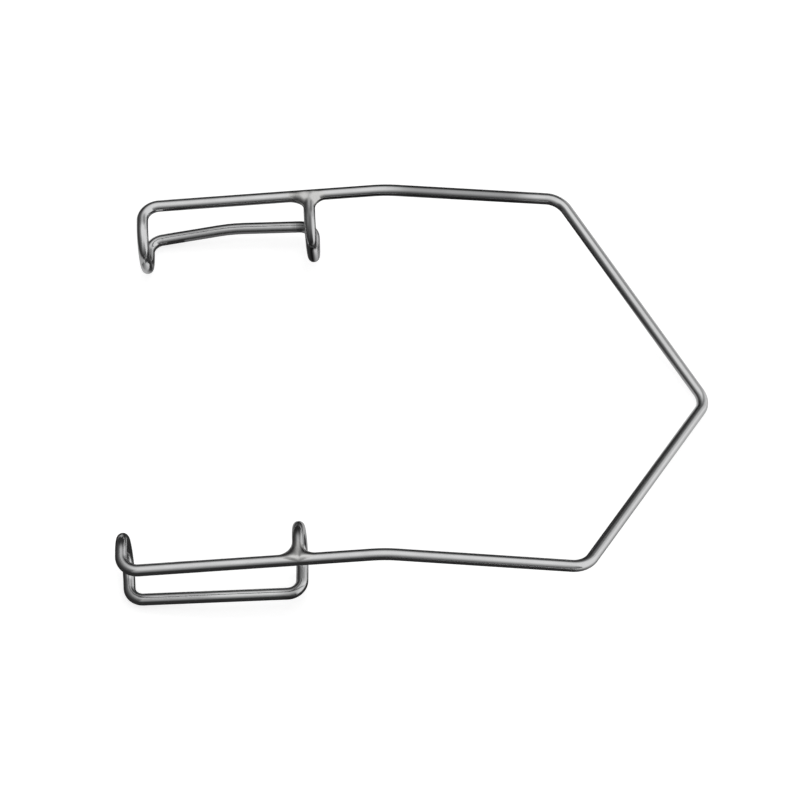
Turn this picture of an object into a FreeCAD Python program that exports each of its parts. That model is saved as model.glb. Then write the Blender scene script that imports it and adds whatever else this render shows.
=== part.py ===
"""Wire lid retractor: one length of spring wire bent to a bow, two arms and two hooked blades.

The wire starts at the near hook of one blade, runs round that blade, up its arm, round the bow,
down the other arm and round the other blade. Each loose end is brazed to its own arm.
Squeezing the arms closes the blades, and the bow spreads them again when it is let go.

Millimetres. Z is up, the part lies on its far hooks and its crown, and the origin is
under the middle of the part. X points from the blades to the crown, Y from the lower
arm to the upper arm, as the arms lie in the view from the front.
"""

import FreeCAD, Part
import math
import os

from FreeCAD import Vector

# Wire
wire_diameter = 0.9

# Bow, measured in the sloping plane that holds the crown and both shoulders
bow_depth = 11.15
shoulder_flare = 0.5
crown_bend_radius = 1.6
shoulder_bend_radius = 1.9

# Arms, seen from above and from the side: both blades and middle bends lie arm_spread apart
arm_spread = 33.8
arm_length = 14.3
arm_rise = 2.1
mid_bend_radius = 8.0
bend_to_blade = 6.1

# Hand bending: by how much the lower side is longer, up to its middle bend and on to its blade
arm_difference = 1.1
root_difference = 0.4

# Blades: width is taken over the outside of both hooks
blade_width = 14.0
rail_fall = 1.5
hook_radius = 2.15
hook_straight = 1.7
rail_corner_radius = 1.3
return_corner_radius = 1.15
return_far_inset = 0.2
return_near_outset = 0.2
lower_return_pull = 0.12  # hand bending: the lower return's corners lie closer together
return_arch_out = 0.25
return_arch_up = 0.4
return_arch_radius = 14.0

# Braze fillets where the loose ends meet the arms
braze_along_arm = 1.15
braze_along_leg = 0.95
braze_skin = 0.05
braze_side_skin = 0.03
braze_steps = 5

# Places along the wire where one stretch ends and the next begins
crown_stub = 0.7
shoulder_stub = 0.7
corner_stub = 0.3
arm_past_blade = 1.8

# The flex joints turn on upright round seats this much wider than the wire
seat_margin = 0.07

wire_radius = wire_diameter / 2
seat_radius = wire_radius + seat_margin
seat_reach = 6 * seat_radius  # the cutters reach well past the wire
shoulder_spread = arm_spread + shoulder_flare
blade_length = blade_width - wire_diameter
up = Vector(0, 0, 1)


def unit(vector):
    """The direction of a vector, as a new vector of length one."""
    return Vector(vector).normalize()


def from_to(start, end, distance):
    """The point this far from start on the way to end."""
    return start + unit(end - start) * distance


def tangent_length(before, corner, after, radius):
    """How far from a corner its bend of this radius begins."""
    turn = math.pi - (before - corner).getAngle(after - corner)
    return radius * math.tan(turn / 2)


def bent_path(points, radii):
    """Straight runs through the points, with a round bend of each radius at the points between."""
    edges = []
    start = points[0]
    for before, corner, after, radius in zip(points, points[1:], points[2:], radii):
        reach = tangent_length(before, corner, after, radius)
        into = from_to(corner, before, reach)
        out = from_to(corner, after, reach)
        bisector = unit(unit(before - corner) + unit(after - corner))
        middle = corner + bisector * (math.hypot(reach, radius) - radius)
        if (into - start).Length > 1e-6:
            edges.append(Part.LineSegment(start, into).toShape())
        edges.append(Part.Arc(into, middle, out).toShape())
        start = out
    if (points[-1] - start).Length > 1e-6:
        edges.append(Part.LineSegment(start, points[-1]).toShape())
    return Part.Wire(edges)


def wire_along(path):
    """Round wire that follows a path, as one solid of cylinders and torus bends."""
    stretches = []
    for edge in path.OrderedEdges:
        start = edge.valueAt(edge.FirstParameter)
        along = edge.tangentAt(edge.FirstParameter)
        section = Part.Face(Part.Wire(Part.makeCircle(wire_radius, start, along)))
        if edge.Curve.TypeId == "Part::GeomCircle":
            turn = math.degrees(edge.Length / edge.Curve.Radius)
            stretches.append(section.revolve(edge.Curve.Center, edge.Curve.Axis, turn))
        else:
            stretches.append(section.extrude(along * edge.Length))
    solid = stretches[0]
    if len(stretches) > 1:
        solid = solid.multiFuse(stretches[1:]).removeSplitter()
    return solid.Solids[0]


def seat(centre):
    """The upright round seat on which a flex joint turns."""
    return Part.makeCylinder(seat_radius, 2 * seat_reach, centre - up * seat_reach)


def hollow_end(solid, centre):
    """Cut the hollow half of a flex joint's seat into the end of a stretch of wire."""
    return solid.cut(seat(centre))


def round_end(solid, centre, outward):
    """Trim a stretch that runs past the joint's centre so that it ends in the round half of the seat."""
    heading = math.degrees(math.atan2(outward.y, outward.x))
    block = Part.makeBox(seat_reach, 2 * seat_reach, 2 * seat_reach)
    block.translate(Vector(0, -seat_reach, -seat_reach))
    block.rotate(Vector(0, 0, 0), up, heading)
    block.translate(centre)
    return solid.cut(block.cut(seat(centre)))


class Layout:
    """Every corner of the wire on one side, in the final frame. Side is +1 above and -1 below."""

    # Slope of the blade rails, and the heights that let the part lie on its far hooks and crown
    rail_run = bend_to_blade + blade_length
    rail_slope = math.atan(rail_fall / rail_run)
    far_height = wire_radius + 2 * hook_radius * math.cos(rail_slope)
    bend_height = far_height + rail_fall
    shoulder_height = bend_height - arm_rise

    # The bow's plane falls from the shoulders to the crown, whose bend cuts inside its corner
    leg_angle = math.atan2(shoulder_spread / 2, bow_depth)
    corner_cut = crown_bend_radius * (1 / math.sin(leg_angle) - 1)
    bow_slope = math.asin((shoulder_height - wire_radius) / (bow_depth - corner_cut))

    # Length from the far hook of the longer arm to the crown, and the frame's middle
    crown_x = bow_depth * math.cos(bow_slope)
    crown_outer_x = crown_x - corner_cut * math.cos(bow_slope) + wire_radius
    far_outer_x = -(arm_length + rail_run + (arm_difference + root_difference) / 2 + wire_radius)
    middle_x = (crown_outer_x + far_outer_x) / 2

    def __init__(self, side):
        shoulder_x = -self.middle_x
        bend_x = shoulder_x - arm_length + side * arm_difference / 2
        far_x = bend_x - self.rail_run + side * root_difference / 2
        self.side = side
        self.crown = Vector(
            shoulder_x + self.crown_x, 0, self.shoulder_height - bow_depth * math.sin(self.bow_slope)
        )
        self.shoulder = Vector(shoulder_x, side * shoulder_spread / 2, self.shoulder_height)
        self.mid_bend = Vector(bend_x, side * arm_spread / 2, self.bend_height)
        self.rail_corner = Vector(far_x, side * arm_spread / 2, self.far_height)

        # The blade's own directions: along its rail, inward, and square to both
        self.along = unit(self.mid_bend - self.rail_corner)
        self.inward = Vector(0, -side, 0)
        self.down = unit(Vector(self.along.z, 0, -self.along.x))
        self.blade_root = self.rail_corner + self.along * blade_length
        self.arm_end = self.blade_root - self.along * arm_past_blade
        drop = self.down * 2 * hook_radius
        reach = self.inward * (hook_straight + hook_radius)
        self.far_tip = (self.rail_corner + reach, self.rail_corner + reach + drop)
        self.near_tip = (self.blade_root + reach + drop, self.blade_root + reach)
        pull = self.along * (lower_return_pull if side < 0 else 0.0)
        self.return_far = self.rail_corner + drop + self.inward * return_far_inset + pull
        self.return_near = self.blade_root + drop - self.inward * return_near_outset - pull
        self.arch = (
            (self.return_far + self.return_near) * 0.5
            - self.inward * return_arch_out
            + up * return_arch_up
        )

        # Joint centres and the ends of the stretches
        mirrored = Vector(self.shoulder.x, -self.shoulder.y, self.shoulder.z)
        self.crown_joint = from_to(
            self.crown,
            self.shoulder,
            tangent_length(mirrored, self.crown, self.shoulder, crown_bend_radius) + crown_stub,
        )
        bend_reach = tangent_length(self.crown, self.shoulder, self.mid_bend, shoulder_bend_radius)
        self.shoulder_joint = from_to(self.shoulder, self.crown, bend_reach + shoulder_stub)
        self.arm_start = from_to(self.shoulder, self.mid_bend, bend_reach + shoulder_stub)
        self.rail_end = self.rail_corner + self.along * (rail_corner_radius + corner_stub)
        self.return_start = from_to(self.return_far, self.arch, return_corner_radius + corner_stub)
        self.return_end = from_to(self.return_near, self.arch, return_corner_radius + corner_stub)


def bow_crown(upper, lower):
    """The bend at the end of the bow, with a hollow seat for each leg."""
    path = bent_path([lower.crown_joint, upper.crown, upper.crown_joint], [crown_bend_radius])
    solid = hollow_end(wire_along(path), upper.crown_joint)
    return hollow_end(solid, lower.crown_joint)


def leg(s):
    """The straight spring leg, rounded at both ends where it turns on the crown and the shoulder."""
    outward = unit(s.crown_joint - s.shoulder_joint)
    start = s.crown_joint + outward * 2 * seat_radius
    end = s.shoulder_joint - outward * 2 * seat_radius
    solid = wire_along(bent_path([start, end], []))
    solid = round_end(solid, s.crown_joint, outward)
    return round_end(solid, s.shoulder_joint, outward * -1)


def shoulder_bend(s):
    """The bend between a leg and its arm, with a hollow seat for the leg."""
    path = bent_path([s.shoulder_joint, s.shoulder, s.arm_start], [shoulder_bend_radius])
    return hollow_end(wire_along(path), s.shoulder_joint)


def arm(s):
    """The arm, highest at its middle bend, as far as just past the braze."""
    return wire_along(bent_path([s.arm_start, s.mid_bend, s.arm_end], [mid_bend_radius]))


def lid_rail(s):
    """The outer rail of the blade, which carries the arm's line on to the far hook."""
    return wire_along(bent_path([s.arm_end, s.rail_end], []))


def far_hook(s):
    """The hook at the blade's far end: inward, round under the lid's edge and back outward."""
    points = [s.rail_end, s.rail_corner, *s.far_tip, s.return_far, s.return_start]
    radii = [rail_corner_radius, hook_radius, hook_radius, return_corner_radius]
    return wire_along(bent_path(points, radii))


def return_wire(s):
    """The gently arched wire between the two hooks, which lies under the lid."""
    return wire_along(bent_path([s.return_start, s.arch, s.return_end], [return_arch_radius]))


def near_hook(s):
    """The hook at the blade's near end, whose loose end is cut to sit on the arm."""
    points = [s.return_end, s.return_near, *s.near_tip, s.blade_root]
    radii = [return_corner_radius, hook_radius, hook_radius]
    return wire_along(bent_path(points, radii)).cut(arm(s))


def flare(height):
    """How far the braze spreads along the arm at a height above the arm's middle line."""
    climbed = min(max((height - wire_radius) / braze_along_leg, 0), 1)
    return braze_along_arm * (1 - math.sqrt(1 - (1 - climbed) ** 2))


def braze_section(s, height, half_thickness):
    """One oval of the braze, square to the loose end, at a height above the arm's middle line."""
    centre = s.blade_root + s.inward * height
    half_width = wire_radius + braze_skin + flare(height)
    oval = Part.Ellipse(centre + s.along * half_width, centre + s.down * half_thickness, centre)
    return Part.Wire(oval.toShape())


def braze_fillet(s):
    """The fillet of braze round the loose end, wide along the arm and thin above and below it."""
    thickness = wire_radius + braze_side_skin
    ovals = [braze_section(s, wire_radius / 2, thickness * 0.8)]
    for step in range(braze_steps + 1):
        height = wire_radius + braze_along_leg * (step / braze_steps) ** 1.6
        ovals.append(braze_section(s, height, thickness))
    body = Part.makeLoft(ovals, True)
    past_braze = s.blade_root + s.inward * (wire_radius + 2 * braze_along_leg)
    loose_end = wire_along(bent_path([s.blade_root, past_braze], []))
    return body.cut(loose_end).cut(arm(s))


def main():
    """Build every stretch of the wire and write one file for each."""
    upper, lower = Layout(1), Layout(-1)
    nodes = {"bow_crown": bow_crown(upper, lower)}
    stretches = (
        leg,
        shoulder_bend,
        arm,
        lid_rail,
        far_hook,
        return_wire,
        near_hook,
        braze_fillet,
    )
    for name, layout in (("upper", upper), ("lower", lower)):
        for stretch in stretches:
            nodes[f"{name}_{stretch.__name__}"] = stretch(layout)
    os.makedirs("parts", exist_ok=True)
    for name, shape in nodes.items():
        shape.exportStep(os.path.join("parts", name + ".step"))
        print(name, shape.ShapeType, len(shape.Solids), shape.isValid(), round(shape.Volume, 4))


main()
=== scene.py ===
"""Looks of a wire lid retractor: one length of spring wire, bent by hand and brazed at both ends.

The wire is drawn as tubes along one route for each side, from the bend of the bow to the loose
end on the arm. Each tube stands for one stretch of the wire. A tube that crosses no flexing
place rides on that stretch's body; the tubes that cross one stay where they are, on no body.

Lengths of the wire, the brazes and the mats are millimetres. Meshes, screens, lamps, table and
camera are in metres.
"""

import logging
import math
from collections.abc import Callable, Sequence
from dataclasses import dataclass
from enum import Enum

import bmesh
import bpy
from mathutils import Matrix, Quaternion, Vector


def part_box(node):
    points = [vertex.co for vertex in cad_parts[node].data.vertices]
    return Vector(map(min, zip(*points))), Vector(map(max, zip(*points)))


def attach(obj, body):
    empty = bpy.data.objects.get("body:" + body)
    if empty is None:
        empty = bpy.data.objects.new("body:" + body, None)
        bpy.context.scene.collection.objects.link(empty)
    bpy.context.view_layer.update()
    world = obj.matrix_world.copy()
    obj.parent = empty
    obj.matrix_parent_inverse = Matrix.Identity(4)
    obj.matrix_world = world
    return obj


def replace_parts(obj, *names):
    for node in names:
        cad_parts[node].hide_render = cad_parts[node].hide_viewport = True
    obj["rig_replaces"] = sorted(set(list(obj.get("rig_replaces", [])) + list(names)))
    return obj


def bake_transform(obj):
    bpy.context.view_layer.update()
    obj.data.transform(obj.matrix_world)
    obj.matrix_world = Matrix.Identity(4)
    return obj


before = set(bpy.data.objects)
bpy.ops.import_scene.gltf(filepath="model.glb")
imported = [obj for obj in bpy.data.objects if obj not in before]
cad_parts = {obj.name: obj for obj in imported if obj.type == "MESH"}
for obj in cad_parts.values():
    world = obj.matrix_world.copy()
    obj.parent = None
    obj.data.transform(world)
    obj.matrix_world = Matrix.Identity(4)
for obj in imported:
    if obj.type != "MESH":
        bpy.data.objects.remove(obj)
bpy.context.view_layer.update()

MM = 0.001
GRAIN_ATTRIBUTE = "wire_grain"
PAINTED_SHADE_ATTRIBUTE = "wire_patina"
NORMAL_ATTRIBUTE = "wire_normal"
DISTANCE_ATTRIBUTE = "wire_distance"
WHITE = (1.0, 1.0, 1.0, 1.0)

log = logging.getLogger("retractor")


class Side(Enum):
    """The two arms of the retractor, by their side of the middle."""

    UPPER = 1
    LOWER = -1

    @property
    def label(self) -> str:
        """Name of the side as the nodes and bodies spell it."""
        return self.name.lower()


class Slot(Enum):
    """The record's material slots."""

    WIRE = "spring_wire"
    BRAZE = "silver_braze"


class Sides(Enum):
    """How many flat sides stand for a round section."""

    WIRE = 40
    BRAZE = 72


@dataclass(frozen=True)
class WireSizes:
    """Driving sizes of the bent wire, those of the construction."""

    diameter: float = 0.9
    bow_depth: float = 11.15
    shoulder_flare: float = 0.5
    crown_bend_radius: float = 1.6
    shoulder_bend_radius: float = 1.9
    arm_spread: float = 33.8
    arm_length: float = 14.3
    arm_rise: float = 2.1
    mid_bend_radius: float = 8.0
    bend_to_blade: float = 6.1
    arm_difference: float = 1.1
    root_difference: float = 0.4
    blade_width: float = 14.0
    rail_fall: float = 1.5
    hook_radius: float = 2.15
    hook_straight: float = 1.7
    rail_corner_radius: float = 1.3
    return_corner_radius: float = 1.15
    return_far_inset: float = 0.2
    return_near_outset: float = 0.2
    lower_return_pull: float = 0.12
    return_arch_out: float = 0.25
    return_arch_up: float = 0.4
    return_arch_radius: float = 14.0
    corner_stub: float = 0.3
    shoulder_stub: float = 0.7
    crown_stub: float = 0.7
    arm_past_blade: float = 1.8
    braze_climb: float = 0.95

    @property
    def radius(self) -> float:
        """Radius of the wire."""
        return self.diameter / 2

    @property
    def blade_length(self) -> float:
        """Distance between the middle lines of a blade's two hooks."""
        return self.blade_width - self.diameter

    @property
    def rail_run(self) -> float:
        """Mean distance from a middle bend to its far hook, seen from above."""
        return self.bend_to_blade + self.blade_length


@dataclass(frozen=True)
class Station:
    """One place on the wire's middle line, with the wire's directions there."""

    place: Vector
    along: Vector
    normal: Vector
    distance: float


class Run:
    """A straight length of the route."""

    step = 0.5

    def __init__(self, start: Station, length: float) -> None:
        """Keep where the run starts and how long it is.

        Args:
            start: Station at the run's beginning.
            length: Length of the run.
        """
        self.start = start
        self.length = length

    def station(self, reach: float) -> Station:
        """Station at a distance from the run's beginning."""
        start = self.start
        return Station(start.place + start.along * reach, start.along, start.normal, start.distance + reach)


class Bend:
    """A round length of the route, which turns about an upright of its plane."""

    step_degrees = 4.0

    def __init__(self, start: Station, centre: Vector, axis: Vector, turn: float) -> None:
        """Keep the bend's circle and how far it turns.

        Args:
            start: Station at the bend's beginning.
            centre: Centre of the bend's circle.
            axis: Direction about which the bend turns.
            turn: Angle of the bend in radians.
        """
        self.start = start
        self.centre = centre
        self.axis = axis
        self.radius = (start.place - centre).length
        self.length = self.radius * turn
        self.step = self.radius * math.radians(self.step_degrees)

    def station(self, reach: float) -> Station:
        """Station at a distance from the bend's beginning."""
        start = self.start
        turned = Quaternion(self.axis, reach / self.radius)
        place = self.centre + turned @ (start.place - self.centre)
        return Station(place, turned @ start.along, turned @ start.normal, start.distance + reach)


class Route:
    """The wire's middle line as runs and bends, one after the other."""

    shortest = 1e-6
    end_step = 0.02

    def __init__(self, first: Station) -> None:
        """Start the route at its first station."""
        self.parts: list[Run | Bend] = []
        self.last = first

    def _add(self, part: Run | Bend) -> None:
        """Add one length and move the route's end to its end."""
        self.parts.append(part)
        self.last = part.station(part.length)

    def bend(self, centre: Vector, turn: float) -> None:
        """Turn about a centre that lies square to the route's end.

        Args:
            centre: Centre of the bend's circle.
            turn: Angle of the bend in radians.
        """
        axis = self.last.along.cross(centre - self.last.place).normalized()
        self._add(Bend(self.last, centre, axis, turn))

    def run_to(self, place: Vector) -> None:
        """Go straight on as far as a place that lies ahead."""
        length = (place - self.last.place).dot(self.last.along)
        if length > self.shortest:
            self._add(Run(self.last, length))

    def corner(self, place: Vector, radius: float, after: Vector) -> None:
        """Go on to a corner and round it towards the next one.

        Args:
            place: Where the two runs would meet without a bend.
            radius: Radius of the bend's middle line.
            after: The next corner, or the end of the run after this bend.
        """
        heading = (after - place).normalized()
        turn = self.last.along.angle(heading)
        self.run_to(place - self.last.along * radius * math.tan(turn / 2))
        square = (heading - self.last.along * heading.dot(self.last.along)).normalized()
        self.bend(self.last.place + square * radius, turn)

    def distance_of(self, place: Vector) -> float:
        """How far along the route a place on one of its runs lies.

        Args:
            place: A point on a straight part of the route.

        Returns:
            The distance from the route's first station.
        """
        best_gap, best = math.inf, 0.0
        for part in self.parts:
            if isinstance(part, Run):
                reach = (place - part.start.place).dot(part.start.along)
                reach = min(max(reach, 0.0), part.length)
                station = part.station(reach)
                gap = (station.place - place).length
                if gap < best_gap:
                    best_gap, best = gap, station.distance
        return best

    def stations(self, start: float, end: float) -> list[Station]:
        """Stations between two distances, close together on bends.

        A very short step at both ends makes the end sections stand square to the wire.

        Args:
            start: Distance of the first station.
            end: Distance of the last station.

        Returns:
            The stations in the route's order.
        """
        found = [self.at(start), self.at(start + self.end_step)]
        for part in self.parts:
            low = max(start, part.start.distance)
            high = min(end, part.start.distance + part.length)
            count = math.ceil((high - low) / part.step)
            for index in range(count + 1):
                distance = low + (high - low) * index / max(count, 1)
                ahead = distance - found[-1].distance
                if low < high and ahead > self.end_step and distance < end - 2 * self.end_step:
                    found.append(part.station(distance - part.start.distance))
        return found + [self.at(end - self.end_step), self.at(end)]

    def at(self, distance: float) -> Station:
        """Station at any distance along the route."""
        for part in self.parts:
            reach = distance - part.start.distance
            if reach <= part.length:
                return part.station(max(reach, 0.0))
        return self.last


class WireSide:
    """Corners and route of the wire on one side, in millimetres of the frame."""

    def __init__(self, side: Side, sizes: WireSizes) -> None:
        """Work out the corners from the driving sizes.

        Args:
            side: Which side of the retractor.
            sizes: Driving sizes of the wire.
        """
        self.side = side
        self.sizes = sizes
        sign = side.value
        slope = math.atan(sizes.rail_fall / sizes.rail_run)
        far_height = sizes.radius + 2 * sizes.hook_radius * math.cos(slope)
        bend_height = far_height + sizes.rail_fall
        shoulder_height = bend_height - sizes.arm_rise
        half_spread = (sizes.arm_spread + sizes.shoulder_flare) / 2
        leg_angle = math.atan2(half_spread, sizes.bow_depth)
        corner_cut = sizes.crown_bend_radius * (1 / math.sin(leg_angle) - 1)
        bow_slope = math.asin((shoulder_height - sizes.radius) / (sizes.bow_depth - corner_cut))
        reach = sizes.bow_depth * math.cos(bow_slope)
        nearest_x = reach - corner_cut * math.cos(bow_slope) + sizes.radius
        difference = (sizes.arm_difference + sizes.root_difference) / 2
        farthest_x = -(sizes.arm_length + sizes.rail_run + difference + sizes.radius)
        shoulder_x = -(nearest_x + farthest_x) / 2
        bend_x = shoulder_x - sizes.arm_length + sign * sizes.arm_difference / 2
        far_x = bend_x - sizes.rail_run + sign * sizes.root_difference / 2

        crown_height = shoulder_height - sizes.bow_depth * math.sin(bow_slope)
        self.crown = Vector((shoulder_x + reach, 0, crown_height))
        self.shoulder = Vector((shoulder_x, sign * half_spread, shoulder_height))
        self.mid_bend = Vector((bend_x, sign * sizes.arm_spread / 2, bend_height))
        self.rail_corner = Vector((far_x, sign * sizes.arm_spread / 2, far_height))
        self.bow_normal = Vector((math.sin(bow_slope), 0, math.cos(bow_slope)))

        self.along = (self.mid_bend - self.rail_corner).normalized()
        self.inward = Vector((0, -sign, 0))
        self.down = Vector((self.along.z, 0, -self.along.x))
        self.blade_root = self.rail_corner + self.along * sizes.blade_length
        self.route = self._route()
        self.cuts = self._cuts()

    def _route(self) -> Route:
        """Lead the middle line from the bow's bend to the loose end.

        Returns:
            The whole route of this side.
        """
        sizes, sign = self.sizes, self.side.value
        drop = self.down * 2 * sizes.hook_radius
        reach = self.inward * (sizes.hook_straight + sizes.hook_radius)
        pull = self.along * (sizes.lower_return_pull if self.side is Side.LOWER else 0.0)
        return_far = self.rail_corner + drop + self.inward * sizes.return_far_inset + pull
        return_near = self.blade_root + drop - self.inward * sizes.return_near_outset - pull
        arch = (return_far + return_near) / 2 - self.inward * sizes.return_arch_out
        arch.z += sizes.return_arch_up

        inside = Vector((-math.cos(math.asin(self.bow_normal.x)), 0, self.bow_normal.x))
        leg = (self.shoulder - self.crown).normalized()
        half_turn = Vector((0, sign, 0)).angle(leg)
        apex_cut = sizes.crown_bend_radius * (1 / math.cos(half_turn) - 1)
        apex = self.crown + inside * apex_cut
        route = Route(Station(apex, Vector((0, sign, 0)), self.bow_normal, 0.0))
        route.bend(apex + inside * sizes.crown_bend_radius, half_turn)
        corners = [
            (self.shoulder, sizes.shoulder_bend_radius),
            (self.mid_bend, sizes.mid_bend_radius),
            (self.rail_corner, sizes.rail_corner_radius),
            (self.rail_corner + reach, sizes.hook_radius),
            (self.rail_corner + reach + drop, sizes.hook_radius),
            (return_far, sizes.return_corner_radius),
            (arch, sizes.return_arch_radius),
            (return_near, sizes.return_corner_radius),
            (self.blade_root + reach + drop, sizes.hook_radius),
            (self.blade_root + reach, sizes.hook_radius),
        ]
        loose_end = self.blade_root + self.inward * sizes.radius / 2
        ahead = [place for place, _ in corners[1:]] + [loose_end]
        for (place, radius), after in zip(corners, ahead):
            route.corner(place, radius, after)
        route.run_to(loose_end)
        self.return_corners = (return_far, arch, return_near)
        return route

    def _cuts(self) -> dict[str, float]:
        """Distances along the route at which one stretch ends and the next begins.

        Returns:
            The distance of each cut by its name.
        """
        sizes = self.sizes
        crown_bend, leg, shoulder_bend = self.route.parts[:3]
        return_far, arch, return_near = self.return_corners
        stub = sizes.return_corner_radius + sizes.corner_stub
        places = {
            "arm_end": self.blade_root - self.along * sizes.arm_past_blade,
            "rail_end": self.rail_corner + self.along * (sizes.rail_corner_radius + sizes.corner_stub),
            "return_start": return_far + (arch - return_far).normalized() * stub,
            "return_end": return_near + (arch - return_near).normalized() * stub,
        }
        cuts = {name: self.route.distance_of(place) for name, place in places.items()}
        cuts["apex"] = 0.0
        cuts["crown_joint"] = crown_bend.length + sizes.crown_stub
        cuts["crown_end"] = 2 * cuts["crown_joint"]
        mid_bend = next(part for part in self.route.parts[3:] if isinstance(part, Bend))
        cuts["mid_bend"] = mid_bend.start.distance
        shoulder_start = leg.start.distance + leg.length
        cuts["shoulder_joint"] = shoulder_start - sizes.shoulder_stub
        cuts["leg_end"] = cuts["shoulder_joint"] - sizes.shoulder_bend_radius
        shoulder_end = shoulder_bend.start.distance + shoulder_bend.length
        cuts["arm_start"] = shoulder_end + sizes.shoulder_bend_radius
        cuts["loose_end"] = self.route.last.distance
        cuts["braze_edge"] = cuts["loose_end"] - sizes.radius - sizes.braze_climb
        return cuts


class NodeTree:
    """Short calls to add and join nodes in one node tree."""

    def __init__(self, tree: bpy.types.NodeTree) -> None:
        """Work on a tree that is already there."""
        self.tree = tree

    def add(self, kind: str, inputs: dict | None = None, **settings: object) -> bpy.types.Node:
        """Add a node, set its properties and fill or join its inputs.

        Args:
            kind: Type name of the node.
            inputs: Input name or number to a socket to join, or to a plain value.
            settings: Properties of the node.

        Returns:
            The new node.
        """
        node = self.tree.nodes.new(kind)
        for name, value in settings.items():
            setattr(node, name, value)
        for key, value in (inputs or {}).items():
            self.feed(node, key, value)
        return node

    def feed(self, node: bpy.types.Node, key: str | int, value: object) -> None:
        """Join a socket to an input, or set the input's own value.

        Args:
            node: Node that has the input.
            key: Input name or number.
            value: A socket, or a plain value.
        """
        if isinstance(value, bpy.types.NodeSocket):
            self.tree.links.new(value, node.inputs[key])
        else:
            node.inputs[key].default_value = value

    def math(self, operation: str, first: object, second: object = 0.0) -> bpy.types.NodeSocket:
        """Result of a sum with one or two numbers."""
        return self.add("ShaderNodeMath", {0: first, 1: second}, operation=operation).outputs[0]

    def mix(self, share: bpy.types.NodeSocket, first: object, second: object) -> bpy.types.NodeSocket:
        """Colour between two colours, each a socket or three numbers.

        Args:
            share: How much of the second colour there is.
            first: First colour.
            second: Second colour.

        Returns:
            The mixed colour.
        """
        node = self.add("ShaderNodeMix", {"Factor": share}, data_type="RGBA")
        for key, colour in zip(("A", "B"), (first, second)):
            socket = next(one for one in node.inputs if one.name == key and one.type == "RGBA")
            if isinstance(colour, bpy.types.NodeSocket):
                self.tree.links.new(colour, socket)
            else:
                socket.default_value = (*colour, 1.0)
        return next(one for one in node.outputs if one.type == "RGBA")

    def share(self, value: bpy.types.NodeSocket, none_at: float, all_at: float) -> bpy.types.NodeSocket:
        """How far a number is from one number to another, as a share from 0 to 1.

        Args:
            value: The number's socket.
            none_at: The number at which the share is 0.
            all_at: The number at which the share is 1.

        Returns:
            The share.
        """
        ends = {"From Min": none_at, "From Max": all_at}
        return self.add("ShaderNodeMapRange", {"Value": value, **ends}).outputs[0]

    def ramp(self, value: bpy.types.NodeSocket, stops: Sequence[tuple[float, float]]) -> bpy.types.NodeSocket:
        """Turn a number into a brightness that goes from stop to stop.

        Args:
            value: The number's socket.
            stops: Number and brightness of each stop, from low to high.

        Returns:
            The brightness.
        """
        low, high = stops[0][0], stops[-1][0]
        node = self.add("ShaderNodeValToRGB", {0: self.share(value, low, high)})
        elements = node.color_ramp.elements
        while len(elements) < len(stops):
            elements.new(1.0)
        for element, (place, brightness) in zip(elements, stops):
            element.position = (place - low) / (high - low)
            element.color = (brightness, brightness, brightness, 1.0)
        return node.outputs[0]


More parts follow.
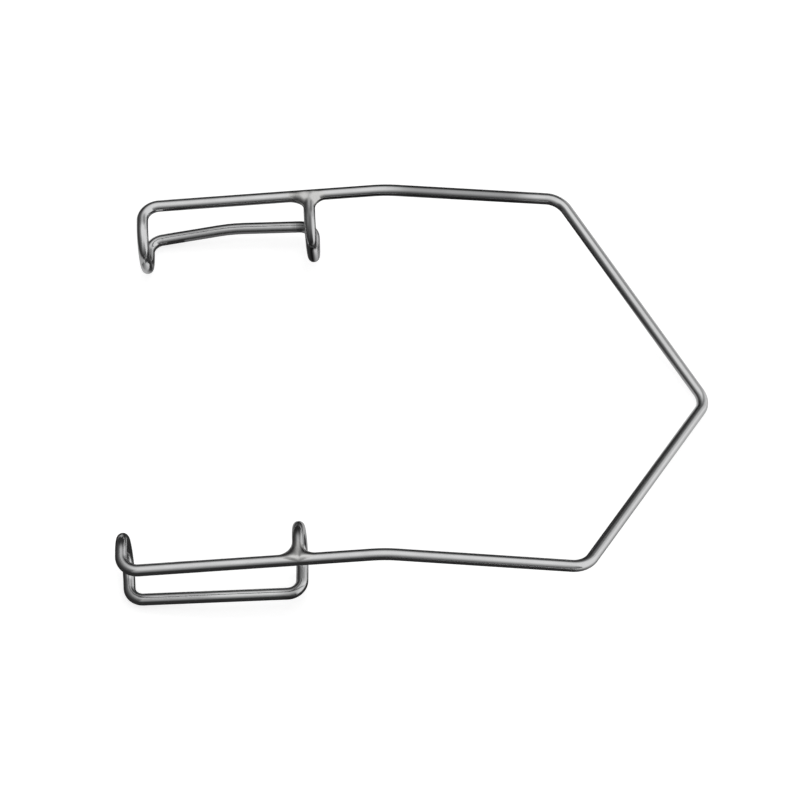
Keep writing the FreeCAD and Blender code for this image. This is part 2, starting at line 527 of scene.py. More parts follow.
class TubeTree:
    """Geometry nodes that sweep a round section along a chain of stations.

    Its faces have four corners and are smooth. The two round ends have more and stay flat.
    """

    most_smooth_corners = 4.5

    def __init__(self) -> None:
        """Build the tree once, with named inputs for its sizes."""
        tree = bpy.data.node_groups.new("wire_along_stations", "GeometryNodeTree")
        face = tree.interface
        face.new_socket("Stations", in_out="INPUT", socket_type="NodeSocketGeometry")
        self.radius = face.new_socket("Wire Radius", in_out="INPUT", socket_type="NodeSocketFloat").identifier
        self.sides = face.new_socket("Section Sides", in_out="INPUT", socket_type="NodeSocketInt").identifier
        self.mirror = face.new_socket("Mirror", in_out="INPUT", socket_type="NodeSocketFloat").identifier
        self.finish = face.new_socket("Finish", in_out="INPUT", socket_type="NodeSocketMaterial").identifier
        face.new_socket("Wire", in_out="OUTPUT", socket_type="NodeSocketGeometry")
        self.tree = tree
        self._build(NodeTree(tree))

    def _build(self, nodes: NodeTree) -> None:
        """Lay the nodes: a curve with its own normals, its section, the grain's coordinates.

        Args:
            nodes: The tree to fill.
        """
        given = nodes.add("NodeGroupInput").outputs
        curve = nodes.add("GeometryNodeMeshToCurve", {"Mesh": given["Stations"]}).outputs[0]
        normal = nodes.add(
            "GeometryNodeInputNamedAttribute", {"Name": NORMAL_ATTRIBUTE}, data_type="FLOAT_VECTOR"
        )
        turned = nodes.add(
            "GeometryNodeSetCurveNormal", {"Curve": curve, "Normal": normal.outputs[0]}, mode="FREE"
        )
        section = nodes.add(
            "GeometryNodeCurvePrimitiveCircle",
            {"Resolution": given["Section Sides"], "Radius": given["Wire Radius"]},
            mode="RADIUS",
        )
        kept = nodes.add("GeometryNodeCaptureAttribute", domain="POINT")
        kept.capture_items.new("VECTOR", "Section Place")
        nodes.feed(kept, "Geometry", section.outputs[0])
        nodes.feed(kept, 1, nodes.add("GeometryNodeInputPosition").outputs[0])
        swept = nodes.add(
            "GeometryNodeCurveToMesh",
            {"Curve": turned.outputs[0], "Profile Curve": kept.outputs[0], "Fill Caps": True},
        )
        parts = nodes.add("ShaderNodeSeparateXYZ", {0: kept.outputs[1]}).outputs
        distance = nodes.add(
            "GeometryNodeInputNamedAttribute", {"Name": DISTANCE_ATTRIBUTE}, data_type="FLOAT"
        )
        grain = nodes.add(
            "ShaderNodeCombineXYZ",
            {
                0: parts[0],
                1: nodes.math("MULTIPLY", parts[1], given["Mirror"]),
                2: nodes.math("MULTIPLY", distance.outputs[0], given["Mirror"]),
            },
        )
        stored = nodes.add(
            "GeometryNodeStoreNamedAttribute",
            {"Geometry": swept.outputs[0], "Name": GRAIN_ATTRIBUTE, "Value": grain.outputs[0]},
            data_type="FLOAT_VECTOR",
            domain="POINT",
        )
        corners = nodes.add("GeometryNodeInputMeshFaceNeighbors").outputs["Vertex Count"]
        is_side = nodes.math("LESS_THAN", corners, self.most_smooth_corners)
        smooth = nodes.add(
            "GeometryNodeSetShadeSmooth",
            {"Geometry": stored.outputs[0], "Shade Smooth": is_side},
            domain="FACE",
        )
        real = nodes.add("GeometryNodeRealizeInstances", {"Geometry": smooth.outputs[0]})
        dressed = nodes.add(
            "GeometryNodeSetMaterial", {"Geometry": real.outputs[0], "Material": given["Finish"]}
        )
        nodes.add("NodeGroupOutput", {0: dressed.outputs[0]})


class SharedEffects:
    """Shader node groups that more than one finish uses."""

    fine_detail = 3.0
    broad_streaks = {"Scale": 0.22, "Detail": 2.0, "Roughness": 0.6}
    scratch_lines = {"Rotation": (0.5, 0.35, 0.9), "Scale": (1, 1, 0.2)}
    scratch_width = 0.03
    scratched_patch = 1.5
    scratched_share = (0.52, 0.62)
    smudge_detail = 2.0
    smudged_share = (0.35, 0.7)

    def __init__(self) -> None:
        """Build each group once."""
        self.grain = self._grain()
        self.handling = self._handling()

    @staticmethod
    def _group(name: str, inputs: dict[str, tuple[str, float | None]], outputs: Sequence[str]) -> NodeTree:
        """Make an empty group with named sockets.

        Args:
            name: Name of the group.
            inputs: Input name to its socket kind and default value.
            outputs: Names of the outputs, which are all numbers.

        Returns:
            The group, ready to be filled.
        """
        tree = bpy.data.node_groups.new(name, "ShaderNodeTree")
        for label, (kind, value) in inputs.items():
            socket = tree.interface.new_socket(label, in_out="INPUT", socket_type=kind)
            if value is not None:
                socket.default_value = value
        for label in outputs:
            tree.interface.new_socket(label, in_out="OUTPUT", socket_type="NodeSocketFloat")
        return NodeTree(tree)

    def _grain(self) -> bpy.types.NodeTree:
        """Fine streaks along the wire that drawing through a die leaves.

        Returns:
            A group with a height and a tone, both from 0 to 1.
        """
        nodes = self._group(
            "drawn_grain",
            {
                "Place": ("NodeSocketVector", None),
                "Streak Width": ("NodeSocketFloat", 0.05),
                "Streak Length": ("NodeSocketFloat", 3.0),
            },
            ("Height", "Tone"),
        )
        given = nodes.add("NodeGroupInput").outputs
        across = nodes.math("DIVIDE", 1.0 / MM, given["Streak Width"])
        lengthwise = nodes.math("DIVIDE", 1.0 / MM, given["Streak Length"])
        scale = nodes.add("ShaderNodeCombineXYZ", {0: across, 1: across, 2: lengthwise}).outputs[0]
        place = nodes.add("ShaderNodeVectorMath", {0: given["Place"], 1: scale}, operation="MULTIPLY")
        vector = {"Vector": place.outputs[0]}
        fine = nodes.add("ShaderNodeTexNoise", {**vector, "Scale": 1.0, "Detail": self.fine_detail})
        broad = nodes.add("ShaderNodeTexNoise", {**vector, **self.broad_streaks})
        nodes.add("NodeGroupOutput", {0: fine.outputs[0], 1: broad.outputs[0]})
        return nodes.tree

    def _handling(self) -> bpy.types.NodeTree:
        """Sparse hairline scratches and soft smudges from use and cleaning.

        Returns:
            A group with a scratch mask and a smudge mask, both from 0 to 1.
        """
        nodes = self._group(
            "handling_marks",
            {
                "Place": ("NodeSocketVector", None),
                "Scratch Spacing": ("NodeSocketFloat", 0.6),
                "Smudge Size": ("NodeSocketFloat", 2.5),
            },
            ("Scratches", "Smudges"),
        )
        given = nodes.add("NodeGroupInput").outputs
        turned = nodes.add("ShaderNodeMapping", {"Vector": given["Place"], **self.scratch_lines})
        cells = nodes.add(
            "ShaderNodeTexVoronoi",
            {
                "Vector": turned.outputs[0],
                "Scale": nodes.math("DIVIDE", 1.0 / MM, given["Scratch Spacing"]),
                "Randomness": 1.0,
            },
            feature="DISTANCE_TO_EDGE",
        )
        lines = nodes.share(cells.outputs[0], self.scratch_width, 0.0)
        patch_scale = nodes.math("DIVIDE", self.scratched_patch / MM, given["Smudge Size"])
        patches = nodes.add("ShaderNodeTexNoise", {"Vector": given["Place"], "Scale": patch_scale})
        scratched = nodes.share(patches.outputs[0], *self.scratched_share)
        scratches = nodes.math("MULTIPLY", lines, scratched)
        smudge_scale = nodes.math("DIVIDE", 1.0 / MM, given["Smudge Size"])
        smudges = nodes.add(
            "ShaderNodeTexNoise",
            {"Vector": given["Place"], "Scale": smudge_scale, "Detail": self.smudge_detail},
        )
        soft = nodes.share(smudges.outputs[0], *self.smudged_share)
        nodes.add("NodeGroupOutput", {0: scratches, 1: soft})
        return nodes.tree


@dataclass(frozen=True)
class MetalFinish:
    """A polished metal, with its grain, hairline scratches and smudges, and painted shade where a piece
    stores it.
    """

    name: str
    bright: tuple[float, float, float]
    dull: tuple[float, float, float]
    roughness: float
    streak_roughness: float
    smudge_roughness: float
    streak_width: float
    streak_length: float
    grain_height: float
    scratch_height: float
    follows_wire: bool
    grain_share: float = 0.6
    # Dark grey that the painted shade mixes into the colour.
    painted_shade_colour: tuple[float, float, float] = (0.12, 0.121, 0.123)

    def build(self, effects: SharedEffects) -> bpy.types.Material:
        """Make the material.

        Args:
            effects: The shared node groups.

        Returns:
            The finished material.
        """
        material = bpy.data.materials.new(self.name)
        material.use_nodes = True
        nodes = NodeTree(material.node_tree)
        shader = material.node_tree.nodes["Principled BSDF"]
        shader.inputs["Metallic"].default_value = 1.0
        if self.follows_wire:
            place = nodes.add("ShaderNodeAttribute", attribute_name=GRAIN_ATTRIBUTE).outputs["Vector"]
        else:
            place = nodes.add("ShaderNodeTexCoord").outputs["Object"]
        streaks = {"Streak Width": self.streak_width, "Streak Length": self.streak_length}
        grain = self._placed(nodes, effects.grain, place, streaks)
        marks = self._placed(nodes, effects.handling, place, {})
        streaks_tone = nodes.math("MULTIPLY", grain.outputs["Tone"], self.grain_share)
        smudge_tone = nodes.math("MULTIPLY", marks.outputs["Smudges"], 1 - self.grain_share)
        metal = nodes.mix(nodes.math("ADD", streaks_tone, smudge_tone), self.bright, self.dull)
        # Painted shade: the stored share mixes the colour towards a dark grey, so chosen stretches look
        # darker, as dark reflections would make them.
        painted_shade = nodes.add("ShaderNodeAttribute", attribute_name=PAINTED_SHADE_ATTRIBUTE).outputs["Fac"]
        nodes.feed(shader, "Base Color", nodes.mix(painted_shade, metal, self.painted_shade_colour))
        streaked = nodes.math("MULTIPLY", grain.outputs["Tone"], self.streak_roughness)
        smudged = nodes.math("MULTIPLY", marks.outputs["Smudges"], self.smudge_roughness)
        rough = nodes.math("ADD", nodes.math("ADD", streaked, smudged), self.roughness)
        nodes.feed(shader, "Roughness", rough)
        scratched = nodes.math("MULTIPLY", marks.outputs["Scratches"], -self.scratch_height)
        height = nodes.math("MULTIPLY", grain.outputs["Height"], self.grain_height)
        bump = nodes.add(
            "ShaderNodeBump",
            {"Strength": 1.0, "Distance": MM, "Height": nodes.math("ADD", height, scratched)},
        )
        nodes.feed(shader, "Normal", bump.outputs[0])
        return material

    @staticmethod
    def _placed(
        nodes: NodeTree, group: bpy.types.NodeTree, place: bpy.types.NodeSocket, values: dict[str, float]
    ) -> bpy.types.Node:
        """Place a shared group in a material with its own values.

        Args:
            nodes: The material's tree.
            group: The shared group.
            place: Coordinates that the effect follows.
            values: Input name to value.

        Returns:
            The group's node.
        """
        node = nodes.add("ShaderNodeGroup", node_tree=group)
        nodes.feed(node, "Place", place)
        for name, value in values.items():
            nodes.feed(node, name, value)
        return node


SPRING_WIRE = MetalFinish(
    name="satin_spring_wire",
    bright=(0.70, 0.702, 0.705),
    dull=(0.54, 0.542, 0.546),
    roughness=0.10,
    streak_roughness=0.10,
    smudge_roughness=0.06,
    streak_width=0.06,
    streak_length=4.0,
    grain_height=0.0008,
    scratch_height=0.001,
    follows_wire=True,
)
SILVER_BRAZE = MetalFinish(
    name="polished_silver_braze",
    bright=(0.68, 0.677, 0.668),
    dull=(0.54, 0.537, 0.528),
    roughness=0.14,
    streak_roughness=0.05,
    smudge_roughness=0.08,
    streak_width=0.35,
    streak_length=0.35,
    grain_height=0.004,
    scratch_height=0.001,
    follows_wire=False,
)


def smooth_step(share: float) -> float:
    """Ease a share from 0 to 1, level at both ends."""
    share = min(max(share, 0.0), 1.0)
    return share * share * (3 - 2 * share)


@dataclass(frozen=True)
class PaintedShade:
    """A length of wire whose colour is painted greyer, fading out at both ends: painted shade that
    darkens the stretch as dark reflections would.

    Where its surface faces a bright side the painted shade is left off, a painted reflection that
    keeps the wire bright there. Side 1 is towards the bow and side -1 away from it. The bright
    share gives how squarely a surface faces that way, where the brightness begins and where it
    is full.
    """

    side: Side
    start: str
    end: str
    strength: float
    fade: float = 1.0
    bright_sides: tuple[int, ...] = ()
    bright_share: tuple[float, float] = (0.12, 0.52)

    def at(self, distance: float, cuts: dict[str, float], normal: Vector) -> float:
        """How strongly the painted shade greys the wire at a place on it, from 0 to 1.

        Args:
            distance: Distance along the route.
            cuts: Distances of the route's named cuts.
            normal: Direction that the surface faces there.

        Returns:
            The strength there.
        """
        inside = min(distance - cuts[self.start], cuts[self.end] - distance)
        strength = self.strength * smooth_step(inside / self.fade + 0.5)
        least, full = self.bright_share
        for sign in self.bright_sides:
            strength *= smooth_step((full - sign * normal.x) / (full - least))
        return strength


# Painted shade for each side's stretches. The near hooks keep painted bright sides that stand for
# reflections.
PAINTED_SHADES = (
    PaintedShade(Side.UPPER, "arm_start", "mid_bend", 0.59, 2.4),
    PaintedShade(Side.UPPER, "return_start", "return_end", 0.21, 2.0),
    PaintedShade(Side.UPPER, "return_end", "braze_edge", 1.0, 1.6, bright_sides=(-1, 1)),
    PaintedShade(Side.LOWER, "return_end", "braze_edge", 0.4, 1.6, bright_sides=(1,)),
)


@dataclass(frozen=True)
class Stretch:
    """One named stretch of the wire and how it moves."""

    name: str
    node: str
    start: str
    end: str
    rides_on: str
    bends_to: str | None = None


def stretches(side: Side) -> tuple[Stretch, ...]:
    """The stretches of one side, from the bow's bend to the loose end.

    Args:
        side: Which side of the retractor.

    Returns:
        One entry for each piece of wire.
    """
    label = side.label
    leg, blade = f"{label}_spring_leg", f"{label}_arm_and_blade"
    return (
        Stretch(f"{label}_half_of_bow_bend", "bow_crown", "apex", "crown_end", "crown", leg),
        Stretch(f"{label}_leg_wire", f"{label}_leg", "crown_end", "leg_end", leg),
        Stretch(f"{label}_shoulder_wire", f"{label}_shoulder_bend", "leg_end", "arm_start", leg, blade),
        Stretch(f"{label}_arm_wire", f"{label}_arm", "arm_start", "arm_end", blade),
        Stretch(f"{label}_lid_rail_wire", f"{label}_lid_rail", "arm_end", "rail_end", blade),
        Stretch(f"{label}_far_hook_wire", f"{label}_far_hook", "rail_end", "return_start", blade),
        Stretch(f"{label}_under_lid_wire", f"{label}_return_wire", "return_start", "return_end", blade),
        Stretch(f"{label}_near_hook_wire", f"{label}_near_hook", "return_end", "loose_end", blade),
    )


@dataclass
class SpringWire:
    """The wire of one side: makes its tubes and ties those that cross no flexing place to their bodies."""

    layout: WireSide
    tree: TubeTree
    material: bpy.types.Material

    def build(self) -> None:
        """Make every stretch of this side."""
        for stretch in stretches(self.layout.side):
            piece = self._tube(stretch)
            if stretch.bends_to is None:
                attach(piece, stretch.rides_on)
            else:
                start, end = self._flex(stretch)
                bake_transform(piece)
            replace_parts(piece, stretch.node)
            report(piece)

    def _flex(self, stretch: Stretch) -> tuple[Vector, Vector]:
        """Where a stretch begins and ends to bend.

        The bow's bend turns from the middle plane outward, and the shoulder along its leg.

        Args:
            stretch: A stretch that crosses a flexing place.

        Returns:
            The two points, in millimetres.
        """
        layout = self.layout
        first = layout.route.at(layout.cuts[stretch.start])
        last = layout.route.at(layout.cuts[stretch.end])
        reach = (last.place - first.place).dot(first.along) - layout.sizes.radius
        return first.place, first.place + first.along * reach

    def _tube(self, stretch: Stretch) -> bpy.types.Object:
        """Sweep the wire's section along one stretch.

        Args:
            stretch: The stretch to make.

        Returns:
            An object at the origin with a plain mesh.
        """
        layout = self.layout
        stations = layout.route.stations(layout.cuts[stretch.start], layout.cuts[stretch.end])
        places = [station.place * MM for station in stations]
        edges = [(index, index + 1) for index in range(len(stations) - 1)]
        piece = new_object(stretch.name, places, edges, [])
        mesh = piece.data
        mesh.attributes.new(NORMAL_ATTRIBUTE, "FLOAT_VECTOR", "POINT")
        mesh.attributes.new(DISTANCE_ATTRIBUTE, "FLOAT", "POINT")
        normals = mesh.attributes[NORMAL_ATTRIBUTE].data
        distances = mesh.attributes[DISTANCE_ATTRIBUTE].data
        for index, station in enumerate(stations):
            normals[index].vector = station.normal
            distances[index].value = station.distance * MM
        modifier = piece.modifiers.new("wire", "NODES")
        modifier.node_group = self.tree.tree
        modifier[self.tree.radius] = layout.sizes.radius * MM
        modifier[self.tree.sides] = Sides.WIRE.value
        modifier[self.tree.mirror] = float(layout.side.value)
        modifier[self.tree.finish] = self.material
        self._paint_shade(made_plain(piece).data)
        return piece

    def _paint_shade(self, mesh: bpy.types.Mesh) -> None:
        """Store how strongly the painted shade greys the wire at each of its points.

        Args:
            mesh: A tube's plain mesh, with the grain's coordinates.
        """
        layout = self.layout
        grey = [patch for patch in PAINTED_SHADES if patch.side is layout.side]
        mesh.attributes.new(PAINTED_SHADE_ATTRIBUTE, "FLOAT", "POINT")
        grain = mesh.attributes[GRAIN_ATTRIBUTE].data
        painted_shade = mesh.attributes[PAINTED_SHADE_ATTRIBUTE].data
        # Each point takes the strongest painted shade of its side.
        for index, vertex in enumerate(mesh.vertices):
            distance = abs(grain[index].vector.z) / MM
            painted_shade[index].value = max(patch.at(distance, layout.cuts, vertex.normal) for patch in grey)


@dataclass
class BrazeFillet:
    """The braze round a loose end, filling the corner between the end and its arm smoothly.

    In its own directions the arm runs along x, the loose end stands up along y and z points
    down. A reach goes from the loose end's surface along the arm, and a climb from the arm's
    surface along the loose end. The crown side faces the bow, the far side the far hook, and
    the side values hold square to both. The braze wraps the arm to past_middle below its middle
    line. It swells by its skin in the middle, its edges dip by sink below the wires' surface
    and run on for overlap, and its inner side lies at depth. Lines are followed for search_radii
    radii of the wire at most.
    """

    layout: WireSide
    material: bpy.types.Material
    crown_reach: float
    crown_climb: float
    far_reach: float
    far_climb: float
    side_reach: float = 0.07
    side_climb: float = 0.3
    past_middle: float = 0.42
    skin: float = 0.006
    overlap: float = 0.15
    sink: float = 0.004
    depth: float = 0.08
    steps: int = 20
    halvings: int = 24
    search_radii: float = 8.0

    def build(self) -> None:
        """Make the ring as one closed mesh."""
        turns = Sides.BRAZE.value
        rings = [self._section(2 * math.pi * index / turns) for index in range(turns)]
        size = len(rings[0])
        vertices = [place * MM for ring in rings for place in ring]
        faces = []
        for index in range(turns):
            here, there = index * size, (index + 1) % turns * size
            for step in range(size):
                beyond = (step + 1) % size
                faces.append((here + step, here + beyond, there + beyond, there + step))
        label = self.layout.side.label
        piece = new_object(f"{label}_braze_ring", vertices, [], faces, self.material)
        face_outward(piece.data)
        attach(piece, f"{label}_arm_and_blade")
        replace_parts(piece, f"{label}_braze_fillet")
        report(piece)

    def _corner(self, point: Vector) -> tuple[float, float]:
        """How far a point is off the arm and off the loose end, as shares of climb and reach.

        Args:
            point: A point in the braze's own directions.

        Returns:
            The two shares. The braze ends on the wires where one of them is 1.
        """
        radius = self.layout.sizes.radius
        crown = point.x > 0
        along = point.x**2 / (point.x**2 + point.z**2)
        reach = self.crown_reach if crown else self.far_reach
        climb = self.crown_climb if crown else self.far_climb
        reach = self.side_reach + (reach - self.side_reach) * along
        climb = self.side_climb + (climb - self.side_climb) * along
        below = min(point.y, 0.0)
        off_arm = math.hypot(point.y, point.z) - radius
        off_end = math.hypot(point.x, below, point.z) - radius
        return off_arm / climb, off_end / reach + smooth_step(-below / self.past_middle)

    def _crossing(self, start: Vector, way: Vector, inside: Callable[[Vector], bool]) -> Vector:
        """Find where a straight line leaves a region.

        Args:
            start: A point in the region.
            way: Unit direction of the line.
            inside: Tells whether a point is in the region.

        Returns:
            The last point of the region along the line.
        """
        near, far = 0.0, self.layout.sizes.radius * self.search_radii
        for _ in range(self.halvings):
            middle = (near + far) / 2
            if inside(start + way * middle):
                near = middle
            else:
                far = middle
        return start + way * near

    def _filled(self, point: Vector) -> bool:
        """Tell whether a point lies in the metal of the arm, the loose end or the braze."""
        off_arm, off_end = self._corner(point)
        return math.hypot(max(1 - off_arm, 0.0), max(1 - off_end, 0.0)) > 1

    def _section(self, turn: float) -> list[Vector]:
        """Closed outline of the braze at one angle round the loose end.

        Args:
            turn: Angle from the crown side, round the loose end.

        Returns:
            Points from the loose end down to the arm and back inside the metal.
        """
        radius = self.layout.sizes.radius
        cos, sin = math.cos(turn), math.sin(turn)
        wrap = math.acos(-self.past_middle / radius) * sin
        off_end = Vector((cos, 0, sin))
        off_arm = Vector((0, math.cos(wrap), math.sin(wrap)))
        up, out = Vector((0, 1, 0)), Vector((math.copysign(1.0, cos), 0, 0))
        top = self._crossing(off_end * radius, up, lambda point: self._corner(point)[0] < 1)
        foot = self._crossing(off_arm * radius, out, lambda point: self._corner(point)[1] < 1)
        outline = []
        for step in range(self.steps + 1):
            share = step / self.steps
            start = Vector((foot.x * share**2, top.y * (1 - share) ** 2, 0))
            way = (off_end * (1 - share) + off_arm * share).normalized()
            lift = self.skin * math.sin(math.pi * share) ** 2
            outline.append(self._crossing(start, way, self._filled) + way * lift)
        heading = (outline[-1] - outline[-2]).normalized()
        least = radius - self.sink
        for reach in (self.overlap / 2, self.overlap):
            rim = foot + heading * reach
            outline.append(Vector((rim.x, 0, 0)) + Vector((0, rim.y, rim.z)).normalized() * least)
            outline.insert(0, Vector((0, top.y + reach, 0)) + off_end * least)
        inner = 1 - self.depth / radius
        outline.append(Vector((foot.x, 0, 0)) + off_arm * radius * inner)
        outline.append(Vector((cos, abs(cos), sin)) * radius * inner)
        outline.append(Vector((0, top.y, 0)) + off_end * radius * inner)
        return [self._placed(point) for point in outline]

    def _placed(self, point: Vector) -> Vector:
        """Turn a point from the braze's own directions to the frame's."""
        layout = self.layout
        return layout.blade_root + layout.along * point.x + layout.inward * point.y + layout.down * point.z


def new_object(
    name: str,
    vertices: Sequence[Sequence[float]],
    edges: Sequence[Sequence[int]],
    faces: Sequence[Sequence[int]],
    material: bpy.types.Material | None = None,
) -> bpy.types.Object:
    """Add an object with a mesh of its own to the scene.

    Args:
        name: Name of the object and its mesh.
        vertices: Places of its corners, in metres.
        edges: Edges that belong to no face.
        faces: Its faces.
        material: Its material, where it already has one.

    Returns:
        The new object, at the origin.
    """
    mesh = bpy.data.meshes.new(name)
    mesh.from_pydata(vertices, edges, faces)
    if material is not None:
        mesh.materials.append(material)
    made = bpy.data.objects.new(name, mesh)
    bpy.context.scene.collection.objects.link(made)
    return made


def face_outward(mesh: bpy.types.Mesh) -> None:
    """Turn every face of a closed mesh outward and shade it smooth.

    Args:
        mesh: The mesh to change.
    """
    work = bmesh.new()
    work.from_mesh(mesh)
    bmesh.ops.recalc_face_normals(work, faces=work.faces)
    for face in work.faces:
        face.smooth = True
    work.to_mesh(mesh)
    work.free()


def made_plain(piece: bpy.types.Object) -> bpy.types.Object:
    """Turn what a piece's modifiers show into its own plain mesh.

    Args:
        piece: Object with modifiers.

    Returns:
        The same object, with no modifiers.
    """
    evaluated = piece.evaluated_get(bpy.context.evaluated_depsgraph_get())
    mesh = bpy.data.meshes.new_from_object(evaluated)
    piece.modifiers.clear()
    piece.data = mesh
    mesh.name = piece.name
    return piece


def report(piece: bpy.types.Object) -> None:
    """Log a piece's faces and how far its box is from that of the node it stands for.

    Args:
        piece: A finished piece.
    """
    node = list(piece.get("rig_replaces", []))[0]
    low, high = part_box(node)
    own = [Vector(corner) for corner in piece.bound_box]
    own_low = Vector([min(corner[axis] for corner in own) for axis in range(3)])
    own_high = Vector([max(corner[axis] for corner in own) for axis in range(3)])
    off = max(max(abs(value) for value in own_low - low), max(abs(value) for value in own_high - high))
    log.info("%s: %d faces, box within %.2f mm of %s", piece.name, len(piece.data.polygons), off / MM, node)


@dataclass(frozen=True)
class Screen:
    """A curved screen round the table that only reflections see, darker towards its foot.

    Azimuths are degrees about the upright. Each stop is an elevation in degrees, as seen from
    the middle of the table, and the brightness there. The screen's foot stands below the table.
    """

    name: str
    from_azimuth: float
    to_azimuth: float
    stops: tuple[tuple[float, float], ...]
    radius: float = 0.5
    foot: float = -1.0 * MM
    steps: int = 16

    def build(self) -> None:
        """Make the screen and its graded paper."""
        stops = [(self.radius * math.tan(math.radians(angle)), value) for angle, value in self.stops]
        vertices, faces = [], []
        for index in range(self.steps + 1):
            turn = self.from_azimuth + (self.to_azimuth - self.from_azimuth) * index / self.steps
            x, y = (self.radius * way(math.radians(turn)) for way in (math.cos, math.sin))
            vertices += [(x, y, self.foot), (x, y, stops[-1][0])]
            if index:
                faces.append((2 * index - 2, 2 * index, 2 * index + 1, 2 * index - 1))
        reflection_card(self.name, vertices, faces, graded_paper(self.name, "Z", stops))


def graded_paper(name: str, axis: str, stops: Sequence[tuple[float, float]]) -> bpy.types.Material:
    """Glowing paper whose brightness goes from stop to stop along one of the frame's axes.

    Args:
        name: Name of the object that it is for.
        axis: X or Z.
        stops: Places along the axis in metres and the brightness there.

    Returns:
        The material.
    """
    material = bpy.data.materials.new(name + "_paper")
    material.use_nodes = True
    nodes = NodeTree(material.node_tree)
    material.node_tree.nodes.clear()
    place = nodes.add("ShaderNodeTexCoord").outputs["Object"]
    along = nodes.add("ShaderNodeSeparateXYZ", {0: place}).outputs[axis]
    glow = nodes.add("ShaderNodeEmission", {"Strength": nodes.ramp(along, stops)})
    nodes.add("ShaderNodeOutputMaterial", {"Surface": glow.outputs[0]})
    return material


def reflection_card(
    name: str, vertices: Sequence[Sequence[float]], faces: Sequence[Sequence[int]], paper: bpy.types.Material
) -> bpy.types.Object:
    """Make a screen or mat of the studio that only reflections see.

    Args:
        name: Name of the object.
        vertices: Its corners, in metres.
        faces: Its faces.
        paper: Its material.

    Returns:
        The card, marked as part of the stage.
    """
    card = new_object(name, vertices, [], faces, paper)
    card.visible_camera = False
    card.visible_diffuse = False
    card.visible_transmission = False
    card.visible_volume_scatter = False
    card.visible_shadow = False
    return card


@dataclass(frozen=True)
class Mat:
    """A flat sheet on the table that only reflections see, graded from left to right.

    Its places are millimetres. A sheet that is made for one piece shines on no other.
    """

    name: str
    across: tuple[float, float]
    deep: tuple[float, float]
    stops: tuple[tuple[float, float], ...]
    height: float = 0.0
    shines_on: str | None = None

    def build(self) -> None:
        """Make the sheet and its graded paper."""
        (left, right), (front, back) = self.across, self.deep
        places = ((left, front), (right, front), (right, back), (left, back))
        corners = [Vector((*place, self.height)) * MM for place in places]
        paper = graded_paper(self.name, "X", [(place * MM, shade) for place, shade in self.stops])
        card = reflection_card(self.name, corners, [(0, 1, 2, 3)], paper)
        if self.shines_on is not None:
            lit = bpy.data.collections.new(f"lit_by_{self.name}")
            lit.objects.link(bpy.data.objects[self.shines_on])
            card.light_linking.receiver_collection = lit


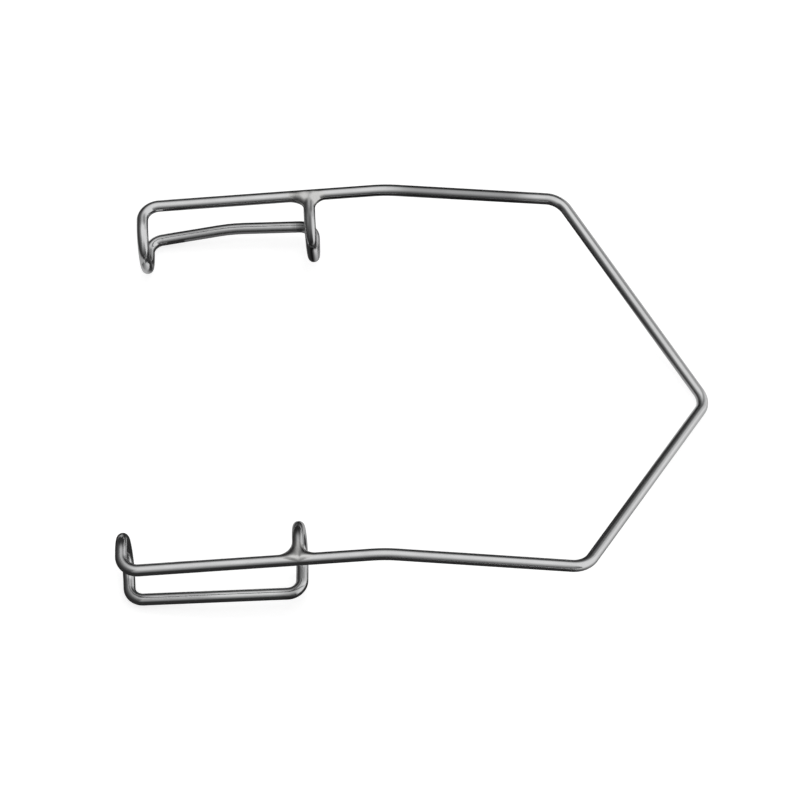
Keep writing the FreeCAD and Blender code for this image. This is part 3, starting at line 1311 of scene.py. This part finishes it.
@dataclass
class Studio:
    """White table, dark screens for the reflections, soft lamps and the camera.

    The camera's focal length is given in pixels of a picture of that many pixels.
    """

    floor_size: float = 6.0
    floor_drop: float = 0.1 * MM
    floor_glow: float = 0.78
    floor_colour: float = 0.55
    ambient: float = 0.35
    mat_reach: float = 500.0
    mat_height: float = -0.05
    camera_azimuth: float = -2.477
    camera_elevation: float = 55.0
    camera_roll: float = 0.601
    camera_distance: float = 305.3 * MM
    camera_target: tuple[float, float, float] = (-1.136 * MM, -0.944 * MM, 3.035 * MM)
    camera_focal_pixels: float = 4003.1
    camera_clip: float = 10.0 * MM
    sensor: float = 36.0
    picture_pixels: float = 800.0

    def build(self) -> None:
        """Make the whole studio."""
        self._table()
        self._world()
        self._mats()
        for screen in (
            Screen("screen_right_behind", 20, 42, ((0, 0.85), (30, 0.7), (45, 0.75), (55, 1.0))),
            Screen("screen_near_corner", 42, 57, ((0, 0.4), (38, 0.35), (48, 0.35), (60, 1.0))),
            Screen("screen_corner", 57, 65, ((0, 0.08), (38, 0.06), (46, 0.3), (58, 1.0))),
            Screen("screen_behind", 65, 125, ((0, 0.03), (28, 0.04), (38, 0.17), (51, 0.55), (66, 1.0))),
            Screen("screen_left", 125, 235, ((0, 0.05), (10, 0.06), (33, 0.13), (55, 0.42), (70, 1.0))),
            Screen("screen_in_front", 235, 312, ((0, 0.04), (8, 0.1), (32, 0.4), (55, 0.85), (70, 1.0))),
        ):
            screen.build()
        self._lamp("softbox_above", (0.05, 0.06, 0.45), 0.42, 1.05)
        self._lamp("softbox_right", (0.42, -0.02, 0.16), 0.22, 0.9)
        self._camera()
        bpy.context.scene.view_settings.view_transform = "Standard"

    @staticmethod
    def _seen_as_backdrop(nodes: NodeTree) -> bpy.types.NodeSocket:
        """One for camera, glossy and transmission rays, which show the white backdrop.

        Args:
            nodes: Tree of the material or world.

        Returns:
            The factor's socket.
        """
        path = nodes.add("ShaderNodeLightPath").outputs
        seen = nodes.math("MAXIMUM", path["Is Camera Ray"], path["Is Glossy Ray"])
        return nodes.math("MAXIMUM", seen, path["Is Transmission Ray"])

    def _table(self) -> None:
        """White table that glows a little for the camera and still takes the shadow."""
        half = self.floor_size / 2
        around = ((-half, -half), (half, -half), (half, half), (-half, half))
        corners = [(x, y, -self.floor_drop) for x, y in around]
        material = bpy.data.materials.new("white_table")
        material.use_nodes = True
        material.node_tree.nodes.clear()
        nodes = NodeTree(material.node_tree)
        grey = self.floor_colour
        paint = nodes.add("ShaderNodeBsdfDiffuse", {"Color": (grey, grey, grey, 1.0)})
        glow = nodes.add(
            "ShaderNodeEmission",
            {"Strength": nodes.math("MULTIPLY", self._seen_as_backdrop(nodes), self.floor_glow)},
        )
        both = nodes.add("ShaderNodeAddShader", {0: paint.outputs[0], 1: glow.outputs[0]})
        nodes.add("ShaderNodeOutputMaterial", {"Surface": both.outputs[0]})
        new_object("table", corners, [], [(0, 1, 2, 3)], material)

    def _world(self) -> None:
        """White surroundings for the camera and reflections, softer light for the rest."""
        world = bpy.data.worlds.new("studio")
        world.use_nodes = True
        world.node_tree.nodes.clear()
        nodes = NodeTree(world.node_tree)
        soft = nodes.add("ShaderNodeBackground", {"Color": WHITE, "Strength": self.ambient})
        white = nodes.add("ShaderNodeBackground", {"Color": WHITE, "Strength": 1.0})
        seen = self._seen_as_backdrop(nodes)
        mixed = nodes.add("ShaderNodeMixShader", {0: seen, 1: soft.outputs[0], 2: white.outputs[0]})
        nodes.add("ShaderNodeOutputWorld", {"Surface": mixed.outputs[0]})
        bpy.context.scene.world = world

    def _mats(self) -> None:
        """Dark mats under both sides, paler to the right of the bow, and small pale papers."""
        edge, under = self.mat_reach, self.mat_height
        right = ((12, 0.035), (20, 0.5), (30, 0.9))
        upper = ((-34, 0.05), (-26, 0.5), (-20.6, 0.55), (-19.2, 0.04), *right)
        lower = ((-30, 0.035), *right)
        far_tip, near_tip = ((-23.5, 0.05), (-17, 1)), ((-7.2, 0.3), (-1, 1))
        for mat in (
            Mat("mat_under_upper", (-edge, edge), (0, edge), upper, under),
            Mat("mat_under_lower", (-edge, edge), (-edge, 0), lower, under),
            Mat("paper_behind_upper", (-17.5, 3), (14, 21), ((-17.5, 0.2), (3, 0.2))),
            Mat("paper_behind_lower", (-17.5, 3), (-13.5, -4), ((-17.5, 0.45), (3, 0.45))),
            Mat("paper_at_far_tip", (-23.5, -17), (7.5, 12), far_tip, shines_on="upper_far_hook_wire"),
            Mat("paper_at_near_tip", (-7.2, -1), (4, 18), near_tip, shines_on="upper_near_hook_wire"),
        ):
            mat.build()

    @staticmethod
    def _lamp(name: str, place: Sequence[float], size: float, radiance: float) -> None:
        """Add a square softbox that points at the middle of the object.

        Args:
            name: Name of the lamp.
            place: Where it stands, in metres.
            size: Side of the square.
            radiance: How bright its face looks, where 1 is white.
        """
        data = bpy.data.lights.new(name, "AREA")
        data.size = size
        data.energy = radiance * math.pi * size * size
        lamp = bpy.data.objects.new(name, data)
        lamp.visible_glossy = False
        lamp.location = place
        lamp.rotation_mode = "QUATERNION"
        lamp.rotation_quaternion = (-Vector(place)).to_track_quat("-Z", "Y")
        bpy.context.scene.collection.objects.link(lamp)

    def _camera(self) -> None:
        """Camera at the photograph's viewing angle."""
        azimuth, elevation, roll = (
            math.radians(angle) for angle in (self.camera_azimuth, self.camera_elevation, self.camera_roll)
        )
        back = Vector(
            (
                math.sin(azimuth) * math.cos(elevation),
                -math.cos(azimuth) * math.cos(elevation),
                math.sin(elevation),
            )
        )
        right = Vector((math.cos(azimuth), math.sin(azimuth), 0))
        above = back.cross(right)
        rolled_right = right * math.cos(roll) + above * math.sin(roll)
        rolled_above = above * math.cos(roll) - right * math.sin(roll)
        data = bpy.data.cameras.new("camera")
        data.sensor_width = self.sensor
        data.lens = self.camera_focal_pixels / self.picture_pixels * self.sensor
        data.clip_start = self.camera_clip
        camera = bpy.data.objects.new("camera", data)
        turned = Matrix((rolled_right, rolled_above, back)).transposed().to_4x4()
        place = Vector(self.camera_target) + back * self.camera_distance
        camera.matrix_world = Matrix.Translation(place) @ turned
        bpy.context.scene.collection.objects.link(camera)
        bpy.context.scene.camera = camera


def main() -> None:
    """Dress both sides of the wire, braze them and set up the studio."""
    logging.basicConfig(level=logging.INFO, format="%(message)s")
    effects = SharedEffects()
    wire = SPRING_WIRE.build(effects)
    braze = SILVER_BRAZE.build(effects)
    tree = TubeTree()
    sizes = WireSizes()
    upper, lower = (WireSide(side, sizes) for side in Side)
    for layout in (upper, lower):
        SpringWire(layout, tree, wire).build()
    BrazeFillet(
        upper, braze, crown_reach=0.9, crown_climb=0.9, far_reach=1.25, far_climb=0.85, side_climb=0.5
    ).build()
    BrazeFillet(
        lower, braze, crown_reach=0.95, crown_climb=0.55, far_reach=1.1, far_climb=1.15, side_climb=0.95
    ).build()
    Studio().build()


if __name__ == "__main__":
    main()
